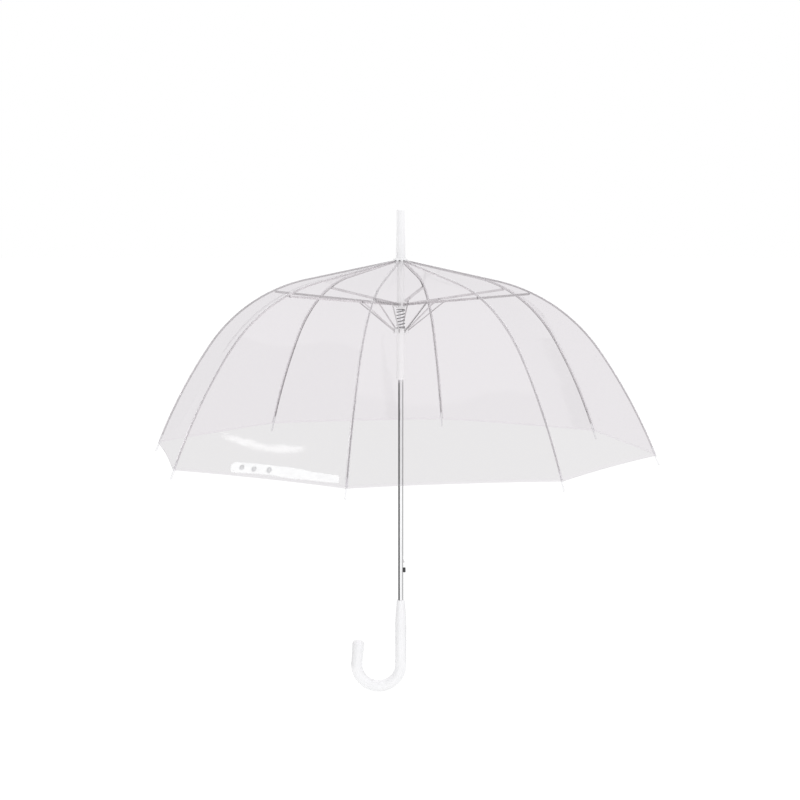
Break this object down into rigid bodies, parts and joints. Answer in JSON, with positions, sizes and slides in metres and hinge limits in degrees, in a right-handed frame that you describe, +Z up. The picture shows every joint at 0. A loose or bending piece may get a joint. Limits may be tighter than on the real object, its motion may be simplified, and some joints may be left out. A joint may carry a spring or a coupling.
{
  "type": "stick umbrella",
  "caption": "Clear dome stick umbrella with a spring-opened rib frame, chrome shaft, white ferrule and white crook handle.",
  "frame": {"origin": "middle of the straight grip, on the shaft axis", "axes": "+Z up the shaft towards the ferrule; the crook opens towards -X and the latch button faces +X"},
  "size_m": [0.988, 0.988, 0.9564],
  "materials": {
    "chrome_tube": "polished",
    "white_gloss": "gloss",
    "white_moulding": "satin",
    "spring_steel": "satin",
    "dark_button": "satin",
    "black_steel": "satin",
    "clear_strap": "clear flexible vinyl",
    "clear_film": "clear flexible vinyl film"
  },
  "bodies": {
    "frame": {"shaft": "chrome_tube", "handle": "white_gloss", "ferrule": "white_gloss", "crown_cap": "white_gloss", "top_notch": "white_moulding"},
    "latch": {"latch_spring": "spring_steel", "push_button": "dark_button"},
    "collar": {"collar": "white_moulding"},
    "runner": {"runner": "white_moulding", "main_spring": "spring_steel"},
    "rib_upper_1": {"rib_upper_1": "black_steel", "canopy_panel_1": "clear_film"},
    "rib_lower_1": {"rib_lower_1": "black_steel", "tie_strap": "clear_strap", "strap_snaps": "white_gloss"},
    "stretcher_inner_1": {"stretcher_inner_1": "black_steel"},
    "stretcher_outer_1": {"stretcher_outer_1": "black_steel"},
    "strut_1": {"strut_1": "black_steel"},
    "rib_upper_2": {"rib_upper_2": "black_steel", "canopy_panel_2": "clear_film"},
    "rib_lower_2": {"rib_lower_2": "black_steel"},
    "stretcher_inner_2": {"stretcher_inner_2": "black_steel"},
    "stretcher_outer_2": {"stretcher_outer_2": "black_steel"},
    "strut_2": {"strut_2": "black_steel"},
    "rib_upper_3": {"rib_upper_3": "black_steel", "canopy_panel_3": "clear_film"},
    "rib_lower_3": {"rib_lower_3": "black_steel"},
    "stretcher_inner_3": {"stretcher_inner_3": "black_steel"},
    "stretcher_outer_3": {"stretcher_outer_3": "black_steel"},
    "strut_3": {"strut_3": "black_steel"},
    "rib_upper_4": {"rib_upper_4": "black_steel", "canopy_panel_4": "clear_film"},
    "rib_lower_4": {"rib_lower_4": "black_steel"},
    "stretcher_inner_4": {"stretcher_inner_4": "black_steel"},
    "stretcher_outer_4": {"stretcher_outer_4": "black_steel"},
    "strut_4": {"strut_4": "black_steel"},
    "rib_upper_5": {"rib_upper_5": "black_steel", "canopy_panel_5": "clear_film"},
    "rib_lower_5": {"rib_lower_5": "black_steel"},
    "stretcher_inner_5": {"stretcher_inner_5": "black_steel"},
    "stretcher_outer_5": {"stretcher_outer_5": "black_steel"},
    "strut_5": {"strut_5": "black_steel"},
    "rib_upper_6": {"rib_upper_6": "black_steel", "canopy_panel_6": "clear_film"},
    "rib_lower_6": {"rib_lower_6": "black_steel"},
    "stretcher_inner_6": {"stretcher_inner_6": "black_steel"},
    "stretcher_outer_6": {"stretcher_outer_6": "black_steel"},
    "strut_6": {"strut_6": "black_steel"},
    "rib_upper_7": {"rib_upper_7": "black_steel", "canopy_panel_7": "clear_film"},
    "rib_lower_7": {"rib_lower_7": "black_steel"},
    "stretcher_inner_7": {"stretcher_inner_7": "black_steel"},
    "stretcher_outer_7": {"stretcher_outer_7": "black_steel"},
    "strut_7": {"strut_7": "black_steel"},
    "rib_upper_8": {"rib_upper_8": "black_steel", "canopy_panel_8": "clear_film"},
    "rib_lower_8": {"rib_lower_8": "black_steel"},
    "stretcher_inner_8": {"stretcher_inner_8": "black_steel"},
    "stretcher_outer_8": {"stretcher_outer_8": "black_steel"},
    "strut_8": {"strut_8": "black_steel"}
  },
  "joints": [
    {"name": "runner_slide", "type": "slide", "parent": "frame", "child": "runner", "axis": [0, 0, 1], "range_m": [-0.36949, 0], "stiffness_N_per_m": 40, "springref_m": 0.5, "deforming": ["main_spring", "canopy_panel_1", "canopy_panel_2", "canopy_panel_3", "canopy_panel_4", "canopy_panel_5", "canopy_panel_6", "canopy_panel_7", "canopy_panel_8", "tie_strap", "strap_snaps"]},
    {"name": "collar_slide", "type": "slide", "parent": "frame", "child": "collar", "axis": [0, 0, 1], "range_m": [-0.40363, 0]},
    {"name": "latch_press", "type": "hinge", "parent": "frame", "child": "latch", "pos_m": [0, 0, 0.097], "axis": [0, 1, 0], "range_deg": [-3, 0], "stiffness_Nm_per_rad": 4, "springref_deg": 2.86},
    {"name": "rib_hinge_1", "type": "hinge", "parent": "frame", "child": "rib_upper_1", "pos_m": [-0.00167, -0.00884, 0.758], "axis": [-0.9826, 0.1857, 0], "range_deg": [-71.4, 0]},
    {"name": "rib_bend_1", "type": "hinge", "parent": "rib_upper_1", "child": "rib_lower_1", "pos_m": [-0.04885, -0.25852, 0.69544], "axis": [-0.9826, 0.1857, 0], "range_deg": [0, 33.23]},
    {"name": "stretcher_joint_1", "type": "hinge", "parent": "rib_upper_1", "child": "stretcher_outer_1", "pos_m": [-0.04644, -0.24578, 0.69592], "axis": [-0.9826, 0.1857, 0], "range_deg": [0, 154.15]},
    {"name": "collar_pivot_1", "type": "hinge", "parent": "collar", "child": "stretcher_inner_1", "pos_m": [-0.00204, -0.01081, 0.6735], "axis": [-0.9826, 0.1857, 0], "range_deg": [0, 80.8]},
    {"name": "strut_pivot_1", "type": "hinge", "parent": "stretcher_inner_1", "child": "strut_1", "pos_m": [-0.01592, -0.08426, 0.67971], "axis": [-0.9826, 0.1857, 0], "range_deg": [-31.5, 0]},
    {"name": "rib_hinge_2", "type": "hinge", "parent": "frame", "child": "rib_upper_2", "pos_m": [0.00507, -0.00743, 0.758], "axis": [-0.8261, -0.5635, 0], "range_deg": [-71.4, 0]},
    {"name": "rib_bend_2", "type": "hinge", "parent": "rib_upper_2", "child": "rib_lower_2", "pos_m": [0.14826, -0.21735, 0.69544], "axis": [-0.8261, -0.5635, 0], "range_deg": [0, 33.23]},
    {"name": "stretcher_joint_2", "type": "hinge", "parent": "rib_upper_2", "child": "stretcher_outer_2", "pos_m": [0.14095, -0.20663, 0.69592], "axis": [-0.8261, -0.5635, 0], "range_deg": [0, 154.15]},
    {"name": "collar_pivot_2", "type": "hinge", "parent": "collar", "child": "stretcher_inner_2", "pos_m": [0.0062, -0.00909, 0.6735], "axis": [-0.8261, -0.5635, 0], "range_deg": [0, 80.8]},
    {"name": "strut_pivot_2", "type": "hinge", "parent": "stretcher_inner_2", "child": "strut_2", "pos_m": [0.04832, -0.07084, 0.67971], "axis": [-0.8261, -0.5635, 0], "range_deg": [-31.5, 0]},
    {"name": "rib_hinge_3", "type": "hinge", "parent": "frame", "child": "rib_upper_3", "pos_m": [0.00884, -0.00167, 0.758], "axis": [-0.1857, -0.9826, 0], "range_deg": [-71.4, 0]},
    {"name": "rib_bend_3", "type": "hinge", "parent": "rib_upper_3", "child": "rib_lower_3", "pos_m": [0.25852, -0.04885, 0.69544], "axis": [-0.1857, -0.9826, 0], "range_deg": [0, 33.23]},
    {"name": "stretcher_joint_3", "type": "hinge", "parent": "rib_upper_3", "child": "stretcher_outer_3", "pos_m": [0.24578, -0.04644, 0.69592], "axis": [-0.1857, -0.9826, 0], "range_deg": [0, 154.15]},
    {"name": "collar_pivot_3", "type": "hinge", "parent": "collar", "child": "stretcher_inner_3", "pos_m": [0.01081, -0.00204, 0.6735], "axis": [-0.1857, -0.9826, 0], "range_deg": [0, 80.8]},
    {"name": "strut_pivot_3", "type": "hinge", "parent": "stretcher_inner_3", "child": "strut_3", "pos_m": [0.08426, -0.01592, 0.67971], "axis": [-0.1857, -0.9826, 0], "range_deg": [-31.5, 0]},
    {"name": "rib_hinge_4", "type": "hinge", "parent": "frame", "child": "rib_upper_4", "pos_m": [0.00743, 0.00507, 0.758], "axis": [0.5635, -0.8261, 0], "range_deg": [-71.4, 0]},
    {"name": "rib_bend_4", "type": "hinge", "parent": "rib_upper_4", "child": "rib_lower_4", "pos_m": [0.21735, 0.14826, 0.69544], "axis": [0.5635, -0.8261, 0], "range_deg": [0, 33.23]},
    {"name": "stretcher_joint_4", "type": "hinge", "parent": "rib_upper_4", "child": "stretcher_outer_4", "pos_m": [0.20663, 0.14095, 0.69592], "axis": [0.5635, -0.8261, 0], "range_deg": [0, 154.15]},
    {"name": "collar_pivot_4", "type": "hinge", "parent": "collar", "child": "stretcher_inner_4", "pos_m": [0.00909, 0.0062, 0.6735], "axis": [0.5635, -0.8261, 0], "range_deg": [0, 80.8]},
    {"name": "strut_pivot_4", "type": "hinge", "parent": "stretcher_inner_4", "child": "strut_4", "pos_m": [0.07084, 0.04832, 0.67971], "axis": [0.5635, -0.8261, 0], "range_deg": [-31.5, 0]},
    {"name": "rib_hinge_5", "type": "hinge", "parent": "frame", "child": "rib_upper_5", "pos_m": [0.00167, 0.00884, 0.758], "axis": [0.9826, -0.1857, 0], "range_deg": [-71.4, 0]},
    {"name": "rib_bend_5", "type": "hinge", "parent": "rib_upper_5", "child": "rib_lower_5", "pos_m": [0.04885, 0.25852, 0.69544], "axis": [0.9826, -0.1857, 0], "range_deg": [0, 33.23]},
    {"name": "stretcher_joint_5", "type": "hinge", "parent": "rib_upper_5", "child": "stretcher_outer_5", "pos_m": [0.04644, 0.24578, 0.69592], "axis": [0.9826, -0.1857, 0], "range_deg": [0, 154.15]},
    {"name": "collar_pivot_5", "type": "hinge", "parent": "collar", "child": "stretcher_inner_5", "pos_m": [0.00204, 0.01081, 0.6735], "axis": [0.9826, -0.1857, 0], "range_deg": [0, 80.8]},
    {"name": "strut_pivot_5", "type": "hinge", "parent": "stretcher_inner_5", "child": "strut_5", "pos_m": [0.01592, 0.08426, 0.67971], "axis": [0.9826, -0.1857, 0], "range_deg": [-31.5, 0]},
    {"name": "rib_hinge_6", "type": "hinge", "parent": "frame", "child": "rib_upper_6", "pos_m": [-0.00507, 0.00743, 0.758], "axis": [0.8261, 0.5635, 0], "range_deg": [-71.4, 0]},
    {"name": "rib_bend_6", "type": "hinge", "parent": "rib_upper_6", "child": "rib_lower_6", "pos_m": [-0.14826, 0.21735, 0.69544], "axis": [0.8261, 0.5635, 0], "range_deg": [0, 33.23]},
    {"name": "stretcher_joint_6", "type": "hinge", "parent": "rib_upper_6", "child": "stretcher_outer_6", "pos_m": [-0.14095, 0.20663, 0.69592], "axis": [0.8261, 0.5635, 0], "range_deg": [0, 154.15]},
    {"name": "collar_pivot_6", "type": "hinge", "parent": "collar", "child": "stretcher_inner_6", "pos_m": [-0.0062, 0.00909, 0.6735], "axis": [0.8261, 0.5635, 0], "range_deg": [0, 80.8]},
    {"name": "strut_pivot_6", "type": "hinge", "parent": "stretcher_inner_6", "child": "strut_6", "pos_m": [-0.04832, 0.07084, 0.67971], "axis": [0.8261, 0.5635, 0], "range_deg": [-31.5, 0]},
    {"name": "rib_hinge_7", "type": "hinge", "parent": "frame", "child": "rib_upper_7", "pos_m": [-0.00884, 0.00167, 0.758], "axis": [0.1857, 0.9826, 0], "range_deg": [-71.4, 0]},
    {"name": "rib_bend_7", "type": "hinge", "parent": "rib_upper_7", "child": "rib_lower_7", "pos_m": [-0.25852, 0.04885, 0.69544], "axis": [0.1857, 0.9826, 0], "range_deg": [0, 33.23]},
    {"name": "stretcher_joint_7", "type": "hinge", "parent": "rib_upper_7", "child": "stretcher_outer_7", "pos_m": [-0.24578, 0.04644, 0.69592], "axis": [0.1857, 0.9826, 0], "range_deg": [0, 154.15]},
    {"name": "collar_pivot_7", "type": "hinge", "parent": "collar", "child": "stretcher_inner_7", "pos_m": [-0.01081, 0.00204, 0.6735], "axis": [0.1857, 0.9826, 0], "range_deg": [0, 80.8]},
    {"name": "strut_pivot_7", "type": "hinge", "parent": "stretcher_inner_7", "child": "strut_7", "pos_m": [-0.08426, 0.01592, 0.67971], "axis": [0.1857, 0.9826, 0], "range_deg": [-31.5, 0]},
    {"name": "rib_hinge_8", "type": "hinge", "parent": "frame", "child": "rib_upper_8", "pos_m": [-0.00743, -0.00507, 0.758], "axis": [-0.5635, 0.8261, 0], "range_deg": [-71.4, 0]},
    {"name": "rib_bend_8", "type": "hinge", "parent": "rib_upper_8", "child": "rib_lower_8", "pos_m": [-0.21735, -0.14826, 0.69544], "axis": [-0.5635, 0.8261, 0], "range_deg": [0, 33.23]},
    {"name": "stretcher_joint_8", "type": "hinge", "parent": "rib_upper_8", "child": "stretcher_outer_8", "pos_m": [-0.20663, -0.14095, 0.69592], "axis": [-0.5635, 0.8261, 0], "range_deg": [0, 154.15]},
    {"name": "collar_pivot_8", "type": "hinge", "parent": "collar", "child": "stretcher_inner_8", "pos_m": [-0.00909, -0.0062, 0.6735], "axis": [-0.5635, 0.8261, 0], "range_deg": [0, 80.8]},
    {"name": "strut_pivot_8", "type": "hinge", "parent": "stretcher_inner_8", "child": "strut_8", "pos_m": [-0.07084, -0.04832, 0.67971], "axis": [-0.5635, 0.8261, 0], "range_deg": [-31.5, 0]}
  ],
  "couplings": [
    {"joint": "collar_slide", "follows": "runner_slide", "ratio": 1.0919},
    {"joint": "rib_hinge_1", "follows": "runner_slide", "rad_per_m": 3.3702},
    {"joint": "rib_bend_1", "follows": "runner_slide", "rad_per_m": -1.5675},
    {"joint": "stretcher_joint_1", "follows": "runner_slide", "rad_per_m": -7.279},
    {"joint": "collar_pivot_1", "follows": "runner_slide", "rad_per_m": -3.8143},
    {"joint": "strut_pivot_1", "follows": "runner_slide", "rad_per_m": 1.4853},
    {"joint": "rib_hinge_2", "follows": "runner_slide", "rad_per_m": 3.3702},
    {"joint": "rib_bend_2", "follows": "runner_slide", "rad_per_m": -1.5675},
    {"joint": "stretcher_joint_2", "follows": "runner_slide", "rad_per_m": -7.279},
    {"joint": "collar_pivot_2", "follows": "runner_slide", "rad_per_m": -3.8143},
    {"joint": "strut_pivot_2", "follows": "runner_slide", "rad_per_m": 1.4853},
    {"joint": "rib_hinge_3", "follows": "runner_slide", "rad_per_m": 3.3702},
    {"joint": "rib_bend_3", "follows": "runner_slide", "rad_per_m": -1.5675},
    {"joint": "stretcher_joint_3", "follows": "runner_slide", "rad_per_m": -7.279},
    {"joint": "collar_pivot_3", "follows": "runner_slide", "rad_per_m": -3.8143},
    {"joint": "strut_pivot_3", "follows": "runner_slide", "rad_per_m": 1.4853},
    {"joint": "rib_hinge_4", "follows": "runner_slide", "rad_per_m": 3.3702},
    {"joint": "rib_bend_4", "follows": "runner_slide", "rad_per_m": -1.5675},
    {"joint": "stretcher_joint_4", "follows": "runner_slide", "rad_per_m": -7.279},
    {"joint": "collar_pivot_4", "follows": "runner_slide", "rad_per_m": -3.8143},
    {"joint": "strut_pivot_4", "follows": "runner_slide", "rad_per_m": 1.4853},
    {"joint": "rib_hinge_5", "follows": "runner_slide", "rad_per_m": 3.3702},
    {"joint": "rib_bend_5", "follows": "runner_slide", "rad_per_m": -1.5675},
    {"joint": "stretcher_joint_5", "follows": "runner_slide", "rad_per_m": -7.279},
    {"joint": "collar_pivot_5", "follows": "runner_slide", "rad_per_m": -3.8143},
    {"joint": "strut_pivot_5", "follows": "runner_slide", "rad_per_m": 1.4853},
    {"joint": "rib_hinge_6", "follows": "runner_slide", "rad_per_m": 3.3702},
    {"joint": "rib_bend_6", "follows": "runner_slide", "rad_per_m": -1.5675},
    {"joint": "stretcher_joint_6", "follows": "runner_slide", "rad_per_m": -7.279},
    {"joint": "collar_pivot_6", "follows": "runner_slide", "rad_per_m": -3.8143},
    {"joint": "strut_pivot_6", "follows": "runner_slide", "rad_per_m": 1.4853},
    {"joint": "rib_hinge_7", "follows": "runner_slide", "rad_per_m": 3.3702},
    {"joint": "rib_bend_7", "follows": "runner_slide", "rad_per_m": -1.5675},
    {"joint": "stretcher_joint_7", "follows": "runner_slide", "rad_per_m": -7.279},
    {"joint": "collar_pivot_7", "follows": "runner_slide", "rad_per_m": -3.8143},
    {"joint": "strut_pivot_7", "follows": "runner_slide", "rad_per_m": 1.4853},
    {"joint": "rib_hinge_8", "follows": "runner_slide", "rad_per_m": 3.3702},
    {"joint": "rib_bend_8", "follows": "runner_slide", "rad_per_m": -1.5675},
    {"joint": "stretcher_joint_8", "follows": "runner_slide", "rad_per_m": -7.279},
    {"joint": "collar_pivot_8", "follows": "runner_slide", "rad_per_m": -3.8143},
    {"joint": "strut_pivot_8", "follows": "runner_slide", "rad_per_m": 1.4853}
  ]
}
